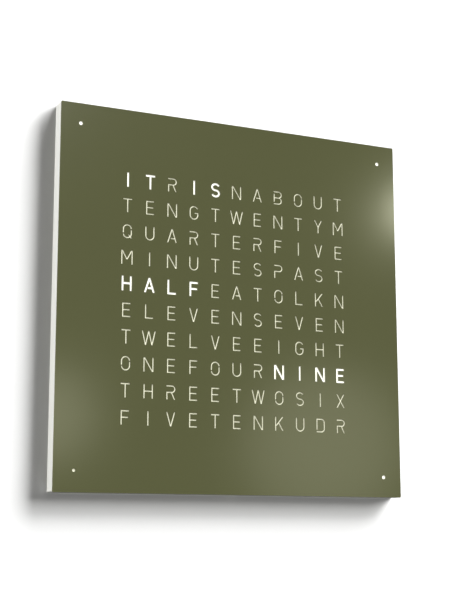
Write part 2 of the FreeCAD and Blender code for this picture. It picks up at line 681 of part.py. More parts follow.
def controller_board():
    board = block_at(0, CONTROLLER_Z, CONTROLLER_WIDTH, CONTROLLER_HEIGHT, CONTROLLER_FRONT, CONTROLLER_REAR)
    half = INLET_WIDTH / 2 + FIT_CLEARANCE
    low = CONTROLLER_Z - CONTROLLER_HEIGHT / 2
    notch = block(-half, half, CONTROLLER_FRONT, CONTROLLER_REAR, low - OVERCUT,
                  POCKET_BOTTOM + INLET_LENGTH + FIT_CLEARANCE)
    hole = SMALL_SCREW_DIAMETER + 2 * HEAD_CLEARANCE
    holes = [shank(hole, x, z, CONTROLLER_FRONT, CONTROLLER_REAR) for x, z in controller_screw_places()]
    return board.cut([notch] + holes)


def spread(widths, start, end):
    """Centres of parts that stand side by side, with equal gaps between two places."""
    gap = (end - start - sum(widths)) / (len(widths) + 1)
    centres = []
    for width in widths:
        start += gap
        centres.append(start + width / 2)
        start += width
    return centres


def left_places():
    """Where the ribbon, cell holder, crystal and microcontroller stand, from the left screws inwards."""
    outer = CONTROLLER_WIDTH / 2 - POST_INSET - SMALL_HEAD_DIAMETER / 2
    inner = INLET_WIDTH / 2 + INLET_EAR
    return spread([RIBBON_SOCKET_WIDTH, HOLDER_WIDTH, CRYSTAL_WIDTH, CHIP_SIZE], -outer, -inner)


def right_places():
    """Where the capacitor, choke and drivers stand, from the inlet out to the button lead's socket."""
    inner = INLET_WIDTH / 2 + INLET_EAR
    outer = BUTTON_SOCKET_END - SOCKET_LENGTH
    return spread([CAPACITOR_DIAMETER, CHOKE_SIZE] + DRIVER_COUNT * [DRIVER_LENGTH], inner, outer)


def on_controller(x, width, height, tall, z=CONTROLLER_Z):
    """A block that stands on the controller board."""
    return block_at(x, z, width, height, CONTROLLER_REAR, CONTROLLER_REAR + tall)


def power_inlet():
    """The DC inlet: a moulded block with a plug bore and two ears that rest on the board."""
    half = INLET_WIDTH / 2
    top = POCKET_BOTTOM + INLET_LENGTH
    housing = block(-half, half, INLET_FRONT, INLET_FRONT + INLET_TALL, POCKET_BOTTOM, top)
    ears = block(-half - INLET_EAR, half + INLET_EAR, CONTROLLER_REAR,
                 CONTROLLER_REAR + INLET_EAR_THICKNESS, POCKET_BOTTOM + CONTROLLER_MARGIN, top)
    bore = Part.makeCylinder(INLET_BORE_DIAMETER / 2, INLET_BORE_DEPTH,
                             V(0, INLET_AXIS_Y, POCKET_BOTTOM), ALONG_Z)
    return joined(housing, [ears]).cut(bore)


def inlet_pin():
    length = INLET_BORE_DEPTH - INLET_PIN_RECESS
    base = V(0, INLET_AXIS_Y, POCKET_BOTTOM + INLET_PIN_RECESS)
    return Part.makeCylinder(INLET_PIN_DIAMETER / 2, length, base, ALONG_Z)


def cell_holder(x):
    """A tray with one open side for the coin cell."""
    floor = CONTROLLER_REAR + HOLDER_FLOOR
    rear = floor + CELL_HEIGHT
    tray = block_at(x, CONTROLLER_Z, HOLDER_WIDTH, HOLDER_WIDTH, CONTROLLER_REAR, rear)
    well = faceted_rod(CELL_DIAMETER + 2 * HOLDER_GAP, x, CONTROLLER_Z, floor, rear)
    mouth = CELL_DIAMETER / 2
    side = block(x - mouth / 2, x + mouth / 2, floor, rear, CONTROLLER_Z, CONTROLLER_Z + HOLDER_WIDTH)
    return tray.cut([well, side])


def ribbon_ends():
    """Heights at which the ribbon leaves its two sockets, below and on the LED board."""
    low = POCKET_TOP - CONTROLLER_MARGIN - RIBBON_SOCKET_DEPTH / 2
    high = -REAR_OPENING / 2 + RIBBON_SOCKET_DEPTH
    return low, high


def ribbon_cable(x):
    """A flat cable that runs level from the tall socket below to the one on the LED board."""
    low, high = ribbon_ends()
    middle = LED_BOARD_REAR + RIBBON_SOCKET_HEIGHT / 2
    return block_at(x, (low + high) / 2, RIBBON_WIDTH, high - low,
                    middle - RIBBON_THICKNESS / 2, middle + RIBBON_THICKNESS / 2)


def ribbon_sockets(x):
    low, high = ribbon_ends()
    depth = RIBBON_SOCKET_DEPTH
    top = LED_BOARD_REAR + RIBBON_SOCKET_HEIGHT
    lower = block_at(x, low - depth / 2, RIBBON_SOCKET_WIDTH, depth, CONTROLLER_REAR, top)
    upper = block_at(x, high + depth / 2, RIBBON_SOCKET_WIDTH, depth, LED_BOARD_REAR, top)
    return [lower, upper]


def button(z):
    """A moulded button: chamfered head, stop flange and square stem down to its switch."""
    top = HALF - BUTTON_RECESS
    length = top - BUTTON_SHOULDER
    r = BUTTON_DIAMETER / 2
    profile = [(0, 0), (0, r), (length - BUTTON_ROUND, r), (length, r - BUTTON_ROUND), (length, 0)]
    cap = turned(profile, V(BUTTON_SHOULDER, BUTTON_Y, z), ALONG_X, ALONG_Z)
    flange_x = BUTTON_SHOULDER - BUTTON_FLANGE_THICKNESS
    flange = prism(FACETS, V(flange_x, BUTTON_Y, z), ALONG_X, ALONG_Z, BUTTON_FLANGE_THICKNESS,
                   BUTTON_FLANGE_DIAMETER, BUTTON_FLANGE_DIAMETER)
    return joined(flange, [cap, square_stem(BUTTON_STEM_WIDTH, z, STEM_TIP_X, flange_x)])


def square_stem(width, z, x0, x1):
    half = width / 2
    return block(x0, x1, BUTTON_Y - half, BUTTON_Y + half, z - half, z + half)


def switch_stem(z):
    """The switch's own plunger, which the button pushes."""
    inside = BUTTON_TRAVEL + SWITCH_STEM_GAP
    return square_stem(SWITCH_STEM_WIDTH, z, SWITCH_TOP_X - inside, STEM_TIP_X)


def switch_body(z):
    body = square_stem(SWITCH_SIZE, z, SWITCH_BASE_X, SWITCH_TOP_X)
    depth = 2 * (BUTTON_TRAVEL + SWITCH_STEM_GAP)
    return body.cut(square_stem(SWITCH_STEM_WIDTH + 2 * SWITCH_STEM_GAP, z, SWITCH_TOP_X - depth, SWITCH_TOP_X))


def button_board():
    half = BUTTON_POCKET_LENGTH / 2 + BUTTON_BOARD_GROOVE - BUTTON_BOARD_GAP
    return block(BUTTON_BOARD_X, SWITCH_BASE_X, -BUTTON_POCKET_DEPTH + BUTTON_BOARD_GAP,
                 PANEL_FRONT - BUTTON_BOARD_GAP, BUTTON_CENTRE_Z - half, BUTTON_CENTRE_Z + half)


def button_lead():
    y0 = BUTTON_LEAD_Y - LEAD_THICKNESS / 2
    y1 = BUTTON_LEAD_Y + LEAD_THICKNESS / 2
    return button_lead_sweep(LEAD_WIDTH, y0, y1, button_lead_path())


def button_sockets():
    half = SOCKET_HEIGHT
    near = block(BUTTON_SOCKET_END - SOCKET_LENGTH, BUTTON_SOCKET_END, CONTROLLER_REAR,
                 BUTTON_LEAD_Y + LEAD_THICKNESS, CONTROLLER_Z - SOCKET_WIDTH / 2,
                 CONTROLLER_Z + SOCKET_WIDTH / 2)
    far = block(SWITCH_BASE_X, SWITCH_BASE_X + SOCKET_HEIGHT, BUTTON_LEAD_Y - half, BUTTON_LEAD_Y + half,
                BUTTON_POCKET_LOW, BUTTON_POCKET_LOW + SOCKET_WIDTH)
    return [near, far]


def corner_sockets():
    """A socket on each corner board, its mouth towards the middle of the clock."""
    outer = lead_ends()[1]
    return [diagonal_bar(x, z, outer, outer + SOCKET_LENGTH, SOCKET_WIDTH, CORNER_BOARD_REAR,
                         CORNER_BOARD_REAR + SOCKET_HEIGHT) for x, z in corners(DOT_OFFSET)]


def led_sockets():
    """The matching sockets on the back of the LED board."""
    inner = lead_ends()[0]
    return [diagonal_bar(x, z, inner - SOCKET_LENGTH, inner, SOCKET_WIDTH, LED_BOARD_REAR,
                         LED_BOARD_REAR + SOCKET_HEIGHT) for x, z in corners(DOT_OFFSET)]


def corner_leads():
    """Flat two-core leads in the diagonal channels."""
    inner, outer = lead_ends()
    y0 = -(CORNER_LEAD_HEIGHT + LEAD_THICKNESS)
    return [diagonal_bar(x, z, inner, outer, LEAD_WIDTH, y0, -CORNER_LEAD_HEIGHT)
            for x, z in corners(DOT_OFFSET)]


def save_case():
    save("body_frame", body_frame())
    save("rear_panel", rear_panel())
    save_group("panel_screws", [panel_screw(x, z) for x, z in panel_screw_places()])
    front = FRAME_FRONT + MAGNET_SINK
    save_group("cover_magnets", magnet_blocks(0.0, front, front + MAGNET_THICKNESS))
    save_group("pin_bushes", pin_bushes())


def save_cover():
    save("front_cover", front_cover())
    save_group("cover_pins", cover_pins())


def save_light_box():
    save("light_grid", light_grid())
    save("diffuser_sheet", diffuser_sheet())
    save("led_board", led_board())
    save_group("cell_leds", [block_at(x, z, LED_SIZE, LED_SIZE, LED_BOARD_FRONT - LED_HEIGHT, LED_BOARD_FRONT)
                             for x, z in cells()])
    seat = LED_BOARD_FRONT - GRID_FLANGE_THICKNESS
    grip = GRID_FLANGE_THICKNESS + BOARD_THICKNESS
    save_group("grid_screws", [small_screw(x, z, seat, -1, grip) for x, z in grid_screw_places()])


def save_corner_lights():
    places = list(corners(DOT_OFFSET))
    save_group("corner_discs", [faceted_rod(CORNER_DISC_DIAMETER, x, z, DIFFUSER_FRONT, DIFFUSER_REAR)
                                for x, z in places])
    save_group("corner_boards", [corner_board(x, z) for x, z in places])
    save_group("corner_leds", [block_at(x, z, CORNER_LED_SIZE, CORNER_LED_SIZE,
                                        CORNER_POCKET_FLOOR - CORNER_LED_HEIGHT, CORNER_POCKET_FLOOR)
                               for x, z in places])
    save_group("corner_sockets", corner_sockets())
    save_group("led_sockets", led_sockets())
    save_group("corner_leads", corner_leads())


def save_controller():
    ribbon_x, cell_x, crystal_x, chip_x = left_places()
    capacitor_x, choke_x, *driver_places = right_places()
    save("controller_board", controller_board())
    save_group("board_screws", [small_screw(x, z, CONTROLLER_REAR, 1, BOARD_THICKNESS)
                                for x, z in controller_screw_places()])
    save("microcontroller", on_controller(chip_x, CHIP_SIZE, CHIP_SIZE, CHIP_HEIGHT))
    save_group("led_drivers", [on_controller(x, DRIVER_LENGTH, CHIP_SIZE, CHIP_HEIGHT) for x in driver_places])
    save("crystal_can", on_controller(crystal_x, CRYSTAL_WIDTH, CRYSTAL_LENGTH, CRYSTAL_HEIGHT))
    save("supply_capacitor", faceted_rod(CAPACITOR_DIAMETER, capacitor_x, CONTROLLER_Z, CONTROLLER_REAR,
                                         CONTROLLER_REAR + CAPACITOR_HEIGHT))
    save("choke", cut_plate(CHOKE_SIZE, CHOKE_SIZE, CORNER_RADIUS, CONTROLLER_REAR,
                            CONTROLLER_REAR + CHOKE_HEIGHT, choke_x, CONTROLLER_Z))
    save("cell_holder", cell_holder(cell_x))
    save("coin_cell", faceted_rod(CELL_DIAMETER, cell_x, CONTROLLER_Z, CONTROLLER_REAR + HOLDER_FLOOR,
                                  CONTROLLER_REAR + HOLDER_FLOOR + CELL_HEIGHT))
    save("ribbon_cable", ribbon_cable(ribbon_x))
    save_group("ribbon_sockets", ribbon_sockets(ribbon_x))
    save("power_inlet", power_inlet())
    save("inlet_pin", inlet_pin())


def save_buttons():
    for name, z in zip(("hour", "minute", "mode"), button_heights()):
        save(name + "_button", button(z))
        save(name + "_switch_stem", switch_stem(z))
    save_group("switch_bodies", [switch_body(z) for z in button_heights()])
    save("button_board", button_board())
    save("button_lead", button_lead())
    save_group("button_sockets", button_sockets())


os.makedirs("parts", exist_ok=True)
save_case()
save_cover()
save_light_box()
save_corner_lights()
save_controller()
save_buttons()
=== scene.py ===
import json
import math

import bmesh
import bpy
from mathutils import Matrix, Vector
from mathutils.geometry import delaunay_2d_cdt


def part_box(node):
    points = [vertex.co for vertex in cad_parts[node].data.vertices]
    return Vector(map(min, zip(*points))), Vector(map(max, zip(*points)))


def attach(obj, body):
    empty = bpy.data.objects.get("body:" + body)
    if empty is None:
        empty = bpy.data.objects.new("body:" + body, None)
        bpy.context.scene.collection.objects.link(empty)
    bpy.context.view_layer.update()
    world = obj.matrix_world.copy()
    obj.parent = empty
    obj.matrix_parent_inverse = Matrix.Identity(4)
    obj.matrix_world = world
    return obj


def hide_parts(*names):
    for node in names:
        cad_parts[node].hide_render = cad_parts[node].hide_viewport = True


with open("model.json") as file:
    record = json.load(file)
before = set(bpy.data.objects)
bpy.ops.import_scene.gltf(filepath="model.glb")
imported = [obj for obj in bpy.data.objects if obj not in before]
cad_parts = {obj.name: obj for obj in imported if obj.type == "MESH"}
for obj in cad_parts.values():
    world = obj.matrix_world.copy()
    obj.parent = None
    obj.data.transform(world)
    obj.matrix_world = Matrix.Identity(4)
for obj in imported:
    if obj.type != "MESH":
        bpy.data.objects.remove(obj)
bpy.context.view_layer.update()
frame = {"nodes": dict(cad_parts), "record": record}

bl_info = {
    "name": "Word Clock",
    "version": (1, 0, 0),
    "blender": (4, 5, 0),
    "location": "View3D > Sidebar > Word Clock",
    "description": "Builds a wall-hung word clock with a stencil-cut steel cover",
    "category": "Add Mesh",
}

MM = 0.001

# Rows of letters, all of one length.
ROWS = (
    "ITRISNABOUT",
    "TENGTWENTYM",
    "QUARTERFIVE",
    "MINUTESPAST",
    "HALFEATOLKN",
    "ELEVENSEVEN",
    "TWELVEEIGHT",
    "ONEFOURNINE",
    "THREETWOSIX",
    "FIVETENKUDR",
)
# The words that are lit: (row, first column, last column).
LIT_WORDS = ((0, 0, 1), (0, 3, 4), (4, 0, 3), (7, 7, 10))
LED_SIDE = 5.0 * MM
# From the outer edge of the corner boards in to the centres of the minute dots.
DOT_INSET = 9.0 * MM
COVER_CORNER = 1.5 * MM

# Straight pieces in a corner of the cover and round a dot, and degrees to a piece of a curved slot.
CORNER_STEPS = 6
DOT_STEPS = 32
CURVE_STEP = 11.0

# How far from its centre a lit letter and a lit dot paint glow onto the cover's coat.
LETTER_PAINTED_GLOW_REACH = 16.0 * MM
DOT_PAINTED_GLOW_REACH = 8.0 * MM
# Where the rings of points lie between a painted glow's core and its reach, as shares of the way.
PAINTED_GLOW_RINGS = (0.0, 0.2, 0.45, 1.0)
# How steeply a painted glow fades, and a dot's glow core as a share of a letter's.
PAINTED_GLOW_FALL = 3
DOT_CORE_SHARE = 0.25

# A patch of mottle in a finish is this many grains wide.
MOTTLE_GRAINS = 60

SCREW_HEAD = 5.8 * MM
SCREW_SINK = 1.4 * MM
SCREW_SHANK = 3.0 * MM
SCREW_SIDES = 24
SCREW_SEED = 7
# The cross recess: the reach and half width of its arms as shares of the head, its depth as a share
# of the sunk height, and the size of its floor as a share of its mouth.
RECESS_ARM = 0.30
RECESS_SLOT = 0.085
RECESS_DEPTH = 0.75
RECESS_FLOOR = 0.7

# Points closer than this are one, in the cover, in a screw's head and in a solid of the frame.
COVER_SLACK = 1e-7
SCREW_SLACK = 1e-9
SOLID_SLACK = 0.001 * MM

# The wall stands just clear of the case. The floor's colour and the sheen are linear values.
WALL_GAP = 0.4 * MM
FLOOR_Z = -1.3
STAGE_REACH = 6.0
FLOOR_COLOUR = (0.94, 0.94, 0.93, 1.0)
WHITE = (1.0, 1.0, 1.0, 1.0)
SENSOR_WIDTH = 36.0
SHEEN_DISTANCE = 2.2
SHEEN_TINT = (1.0, 1.0, 0.76)


def linear(hex_colour):
    """sRGB hex to linear colour."""
    values = [int(hex_colour[i:i + 2], 16) / 255 for i in (1, 3, 5)]
    return tuple(v / 12.92 if v <= 0.04045 else ((v + 0.055) / 1.055) ** 2.4 for v in values)


def colour(name, description, hex_colour):
    return bpy.props.FloatVectorProperty(
        name=name, description=description, subtype="COLOR", size=3, min=0.0, max=1.0,
        default=linear(hex_colour))


def length(name, description, default):
    return bpy.props.FloatProperty(
        name=name, description=description, default=default, min=0.0, precision=5,
        subtype="DISTANCE", unit="LENGTH")


def light_strength(name, description, default):
    return bpy.props.FloatProperty(name=name, description=description, default=default, min=0.0)


class WordClockLetters(bpy.types.PropertyGroup):
    stroke: length("Stroke", "Width of the slots that form a letter", 1.4 * MM)
    cap_height: length("Cap height", "Height of a letter over its slots", 16.6 * MM)
    dot_diameter: length("Dot", "Diameter of a minute dot's hole", 3.6 * MM)
    # Painted light: the coat round a lit slot gives off white, full up to the core and fading out to the
    # reach.
    painted_glow_core: length("Glow core", "How far full white reaches past a lit slot", 0.1 * MM)
    painted_glow_reach: length("Glow reach", "How far the glow of a lit slot fades out", 1.05 * MM)


class WordClockFinishes(bpy.types.PropertyGroup):
    cover: colour("Cover", "Powder coat of the front cover", "#535537")
    case: colour("Case", "Lacquer of the case", "#E6E6DC")
    opal: colour("Opal", "Sheet behind the letters", "#E6E6CE")
    panel: colour("Rear panel", "Paint of the rear panel", "#C9C9C2")
    button: colour("Buttons", "Moulded setting buttons", "#BEBEB7")
    lit: colour("Lit letters", "Light of the lit letters", "#FFFFFB")
    # The lit strength also sets the painted glow on the coat beside the lit slots.
    lit_strength: light_strength("Lit strength", "Strength of the lit letters, 1 is white", 1.2)
    # Painted light: the unlit letters glow a little, so that they stay bright though the slot walls shade
    # them.
    unlit_painted_glow: light_strength("Unlit strength", "Light that leaks into the unlit letters", 0.3)


class WordClockStage(bpy.types.PropertyGroup):
    lens: bpy.props.FloatProperty(
        name="Lens", description="Focal length on a 36 mm sensor, in mm", default=78.14, min=1.0)
    azimuth: bpy.props.FloatProperty(
        name="Azimuth", description="Camera's direction round the clock", subtype="ANGLE",
        default=math.radians(-24.913))
    elevation: bpy.props.FloatProperty(
        name="Elevation", description="Camera's direction above the horizon", subtype="ANGLE",
        default=math.radians(-10.45))
    camera_place: bpy.props.FloatVectorProperty(
        name="Camera", description="Where the camera stands", subtype="TRANSLATION", size=3,
        default=(-0.66095, -1.40934, -0.27693))
    key: light_strength("Key", "Strength of the key lamp on the clock", 3.5)
    wall_near: light_strength("Wall near", "Strength of the lamp that casts the short shadow", 3.98)
    wall_far: light_strength("Wall far", "Strength of the lamp that casts the long shadow", 10.2)
    wall_low: light_strength("Wall low", "Strength of the light that the floor throws up the wall", 0.6)
    side_fill: light_strength("Side fill", "Strength of the lamp on the left side", 0.98)
    right_fill: light_strength("Right fill", "Strength of the lamp on the right side", 2.0)
    side_sheen: light_strength("Side sheen", "Strength of the lamp that glances off the left side", 0.68)
    rear_fill: light_strength("Rear fill", "Strength of the lamp behind the clock", 1.8)
    ambient: light_strength("Ambient", "Strength of the light from all round", 0.13)


# Small helpers

def new_object(name, mesh):
    piece = bpy.data.objects.new(name, mesh)
    bpy.context.scene.collection.objects.link(piece)
    return piece


def add(tree, kind, inputs=None, **settings):
    """A node with its settings; an input given as a socket is linked, any other is set."""
    node = tree.nodes.new(kind)
    for key, value in settings.items():
        setattr(node, key, value)
    for key, value in (inputs or {}).items():
        if isinstance(value, bpy.types.NodeSocket):
            tree.links.new(value, node.inputs[key])
        else:
            node.inputs[key].default_value = value
    return node


def blank_material(name):
    material = bpy.data.materials.new(name)
    material.use_nodes = True
    material.node_tree.nodes.clear()
    return material, material.node_tree


def finish(name, base, roughness, metallic=0.0, grain=0.8 * MM, depth=0.02 * MM, mottle=0.03,
           roughness_spread=0.06, coat=0.0, ior=1.5):
    """A surface with fine grain in its bump, and slight changes in its colour and gloss."""
    material, tree = blank_material(name)
    place = add(tree, "ShaderNodeTexCoord").outputs["Object"]
    fine = add(tree, "ShaderNodeTexNoise", {"Vector": place, "Scale": 1 / grain, "Detail": 2.0})
    broad = add(tree, "ShaderNodeTexNoise", {
        "Vector": place, "Scale": 1 / (MOTTLE_GRAINS * grain), "Detail": 4.0})
    dark = tuple(c * (1 - mottle) for c in base) + (1.0,)
    light = tuple(min(c * (1 + mottle), 1.0) for c in base) + (1.0,)
    # The Mix node's colour inputs share their names with others, so they go by number: 6 and 7.
    tint = add(tree, "ShaderNodeMix", {"Factor": broad.outputs["Fac"], 6: dark, 7: light},
               data_type="RGBA")
    gloss = add(tree, "ShaderNodeMapRange", {
        "Value": fine.outputs["Fac"], "To Min": roughness - roughness_spread,
        "To Max": roughness + roughness_spread})
    bump = add(tree, "ShaderNodeBump", {"Height": fine.outputs["Fac"], "Distance": depth, "Strength": 1.0})
    inputs = {
        "Base Color": tint.outputs[2], "Roughness": gloss.outputs["Result"], "Metallic": metallic,
        "Normal": bump.outputs["Normal"], "Coat Weight": coat}
    if not metallic:
        inputs["IOR"] = ior
    shader = add(tree, "ShaderNodeBsdfPrincipled", inputs)
    add(tree, "ShaderNodeOutputMaterial", {"Surface": shader.outputs["BSDF"]})
    return material, tree, shader, place


# Finishes

def olive_powder_coat():
    """Polyester powder on steel: satin, with the faint orange peel of a baked coat, and a painted glow
    beside the lit slots.
    """
    values = bpy.context.scene.word_clock_finishes
    material, tree, shader, _ = finish(
        "satin_powder_coat_painted_glow", values.cover, 0.15, grain=0.9 * MM, depth=0.006 * MM, mottle=0.02,
        roughness_spread=0.02)
    # Painted light: the coat beside the lit slots gives off white light itself, fading with distance,
    # standing in for the halo round the lit letters.
    glow = add(tree, "ShaderNodeAttribute", attribute_name="glow")
    light = add(tree, "ShaderNodeMath", {0: glow.outputs["Fac"], 1: values.lit_strength},
                operation="MULTIPLY")
    tree.links.new(light.outputs[0], shader.inputs["Emission Strength"])
    shader.inputs["Emission Color"].default_value = tuple(values.lit) + (1.0,)
    return material


def laser_cut_edge():
    """Bare satin steel where the sheet was cut: light, it picks up the glow of the opal sheet."""
    return finish("laser_cut_edge", linear("#A9A79E"), 0.42, 1.0, grain=0.25 * MM, depth=0.004 * MM,
                  mottle=0.04)[0]


def cream_lacquer():
    """Sprayed satin lacquer on fibreboard: smooth, with a soft coat gloss."""
    base = bpy.context.scene.word_clock_finishes.case
    return finish("satin_lacquer", base, 0.38, grain=1.6 * MM, depth=0.008 * MM, mottle=0.012, coat=0.1)[0]


def panel_paint():
    """Textured stove enamel on steel sheet: matt, with a visible fine grain."""
    base = bpy.context.scene.word_clock_finishes.panel
    return finish("textured_stove_enamel", base, 0.58, grain=1.1 * MM, depth=0.05 * MM, mottle=0.02)[0]


def zinc_plated_steel():
    """Bright zinc: a cool grey metal with cloudy gloss."""
    return finish("zinc_plated_steel", linear("#C2C5C6"), 0.32, 1.0, grain=0.5 * MM, depth=0.004 * MM,
                  mottle=0.05)[0]


def turned_brass():
    """Turned brass: warm metal, a little dull."""
    return finish("turned_brass", linear("#C9A765"), 0.28, 1.0, grain=0.4 * MM, depth=0.004 * MM)[0]


def nickel_plate():
    """Nickel on a sintered magnet: bright, with slightly soft reflections."""
    return finish("nickel_plate", linear("#CFCBC4"), 0.2, 1.0, grain=0.6 * MM, depth=0.003 * MM)[0]


def white_abs():
    """Moulded ABS: even white with a fine spark-eroded texture."""
    return finish("moulded_white_abs", linear("#ECECE7"), 0.5, grain=0.5 * MM, depth=0.02 * MM)[0]


def white_solder_mask():
    """White solder mask over copper: smooth and slightly uneven."""
    return finish("white_solder_mask", linear("#E4E6E3"), 0.3, grain=2.0 * MM, depth=0.01 * MM)[0]


def green_solder_mask():
    """Green solder mask over copper tracks."""
    return finish("green_solder_mask", linear("#1E5A34"), 0.28, grain=1.2 * MM, depth=0.02 * MM,
                  mottle=0.15)[0]


def phosphor_resin():
    """Silicone with yellow phosphor over an LED."""
    return finish("phosphor_silicone", linear("#F0E4A6"), 0.35, grain=0.6 * MM, depth=0.01 * MM, ior=1.41)[0]


def black_thermoplastic():
    """Glass-filled nylon in black: matt, with a fine grain."""
    return finish("black_nylon", linear("#1B1C1E"), 0.46, grain=0.4 * MM, depth=0.02 * MM)[0]


def grey_pvc():
    """Extruded PVC of a lead: soft grey with a slight sheen."""
    return finish("extruded_pvc", linear("#BDBDB8"), 0.45, grain=1.0 * MM, depth=0.01 * MM, ior=1.53)[0]


def button_plastic():
    """Moulded button: grey ABS with an eroded, slightly worn face."""
    base = bpy.context.scene.word_clock_finishes.button
    return finish("moulded_grey_abs", base, 0.42, grain=0.35 * MM, depth=0.015 * MM)[0]


def inside(tree, axis, centre, width):
    """1 where a coordinate lies within half a width of a centre, else 0."""
    offset = add(tree, "ShaderNodeMath", {0: axis, 1: centre}, operation="SUBTRACT")
    size = add(tree, "ShaderNodeMath", {0: offset.outputs[0]}, operation="ABSOLUTE")
    return add(tree, "ShaderNodeMath", {0: size.outputs[0], 1: width / 2}, operation="LESS_THAN").outputs[0]


def light_mask(tree, place, boxes):
    """1 inside any of the boxes (x, z, width, height), which don't overlap."""
    axes = add(tree, "ShaderNodeSeparateXYZ", {"Vector": place}).outputs
    total = None
    for x, z, width, height in boxes:
        both = add(tree, "ShaderNodeMath", {
            0: inside(tree, axes["X"], x, width), 1: inside(tree, axes["Z"], z, height)},
            operation="MULTIPLY").outputs[0]
        if total is None:
            total = both
        else:
            total = add(tree, "ShaderNodeMath", {0: total, 1: both}, operation="ADD").outputs[0]
    return total


def opal_acrylic(name, boxes):
    """Opal acrylic: milky and smooth, glowing where the LEDs behind it are on, with a faint painted glow
    where they are off.
    """
    values = bpy.context.scene.word_clock_finishes
    material, tree, shader, place = finish(name, values.opal, 0.3, grain=1.5 * MM, depth=0.002 * MM,
                                           mottle=0.01, ior=1.49)
    mask = light_mask(tree, place, boxes)
    # The unlit cells get a faint painted glow, the lit ones the light of their LEDs.
    light = add(tree, "ShaderNodeMapRange", {
        "Value": mask, "To Min": values.unlit_painted_glow, "To Max": values.lit_strength})
    tint = add(tree, "ShaderNodeMix", {
        "Factor": mask, 6: tuple(values.opal) + (1.0,), 7: tuple(values.lit) + (1.0,)}, data_type="RGBA")
    tree.links.new(tint.outputs[2], shader.inputs["Emission Color"])
    tree.links.new(light.outputs["Result"], shader.inputs["Emission Strength"])
    return material


# Places, worked out from the frame

def letter_pitch():
    """Distance from letter to letter and from row to row, from the outer LEDs."""
    low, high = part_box("cell_leds")
    columns = len(ROWS[0]) - 1
    rows = len(ROWS) - 1
    return (high.x - low.x - LED_SIDE) / columns, (high.z - low.z - LED_SIDE) / rows


def letter_place(row, column):
    pitch_x, pitch_z = letter_pitch()
    x = (column - (len(ROWS[0]) - 1) / 2) * pitch_x
    z = ((len(ROWS) - 1) / 2 - row) * pitch_z
    return x, z


def is_lit(row, column):
    return any(row == r and first <= column <= last for r, first, last in LIT_WORDS)


def word_boxes():
    """One box for the cells of each lit word."""
    pitch_x, pitch_z = letter_pitch()
    boxes = []
    for row, first, last in LIT_WORDS:
        left, z = letter_place(row, first)
        right, _ = letter_place(row, last)
        boxes.append(((left + right) / 2, z, right - left + pitch_x, pitch_z))
    return boxes


def dot_places():
    """The four minute dots, each with whether it is lit: all but the lower left one."""
    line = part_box("corner_boards")[1].x - DOT_INSET
    return [(sx * line, sz * line, sx > 0 or sz > 0) for sx in (-1, 1) for sz in (-1, 1)]


# Letters

class Pen:
    """Draws the slots of a stencil letter as closed outlines about its own centre, in millimetres.

    h is half a stroke, t half the cap height, and m the height of a top stroke's middle line. In the
    letters below, w is half of a letter's width and r the radius of its curves.
    """

    def __init__(self, stroke, cap, grow=0.0):
        self.h = stroke / 2
        self.t = cap / 2
        self.m = self.t - self.h
        self.grow = grow
        self.half = self.h + grow
        self.outlines = []

    def across(self, x0, x1, z):
        a = x0 - self.grow
        b = x1 + self.grow
        low = z - self.half
        high = z + self.half
        self.outlines.append([(a, low), (b, low), (b, high), (a, high)])

    def upright(self, x, z0, z1):
        a = z0 - self.grow
        b = z1 + self.grow
        left = x - self.half
        right = x + self.half
        self.outlines.append([(left, a), (right, a), (right, b), (left, b)])

    def slant(self, x0, z0, x1, z1):
        """A sloping slot with level ends; its lower end comes first."""
        if z0 > z1:
            x0, z0, x1, z1 = x1, z1, x0, z0
        slope = (x1 - x0) / (z1 - z0)
        reach = self.half * math.hypot(1, slope)
        x0 -= slope * self.grow
        x1 += slope * self.grow
        a = z0 - self.grow
        b = z1 + self.grow
        self.outlines.append([(x0 - reach, a), (x0 + reach, a), (x1 + reach, b), (x1 - reach, b)])

    def curve(self, x, z, rx, rz, start, end):
        """A curved slot, from one angle round to a larger one, in degrees."""
        spare = math.degrees(self.grow / max(rx, rz))
        a = start - spare
        b = end + spare
        steps = max(2, math.ceil((b - a) / CURVE_STEP))
        angles = [math.radians(a + (b - a) * i / steps) for i in range(steps + 1)]
        outer = [(x + (rx + self.half) * math.cos(t), z + (rz + self.half) * math.sin(t)) for t in angles]
        inner = [(x + (rx - self.half) * math.cos(t), z + (rz - self.half) * math.sin(t)) for t in angles]
        self.outlines.append(outer + inner[::-1])


def letter_a(p):
    w = 6.2
    foot = w - 1.1 * p.h
    p.slant(-foot, -p.t, 0, p.t)
    p.slant(0, p.t, foot, -p.t)
    p.across(-1.6, foot * 0.72, -3.4)


def letter_b(p):
    w = 5.6
    r = p.m / 2
    x = w - p.h - r
    p.across(-w, x, p.m)
    p.across(-w, x, 0)
    p.across(-w, x, -p.m)
    p.curve(x, r, r, r, -90, 90)
    p.curve(x, -r, r, r, -90, 90)
    p.upright(-w + p.h, -p.t + 3.1, p.t - 3.1)


def letter_d(p):
    w = 5.75
    r = 3.9
    x = w - p.h - r
    p.across(-w, x, p.m)
    p.across(-w, x, -p.m)
    p.curve(x, p.m - r, r, r, 0, 90)
    p.curve(x, r - p.m, r, r, -90, 0)
    p.upright(x + r, r - p.m, p.m - r)
    p.upright(-w + p.h, -p.t + 3.2, p.t)


def letter_e(p):
    letter_f(p)
    p.across(-5.0, 5.0, -p.m)


def letter_f(p):
    w = 5.0
    p.upright(-w + p.h, -p.t, p.t)
    p.across(-w, w, p.m)
    p.across(-w, 0.8 * w, 0.2)


def letter_g(p):
    w = 5.7
    r = w - p.h
    z = p.m - r
    p.curve(0, z, r, r, 28, 180)
    p.curve(0, -z, r, r, 180, 360)
    p.upright(-r, -z, z)
    p.upright(r, -z, -0.4 + p.h)
    p.across(0.9, w, -0.4)


def letter_h(p):
    w = 5.75
    p.upright(-w + p.h, -p.t, p.t)
    p.upright(w - p.h, -p.t, p.t)
    p.across(-w, w, 0.2)


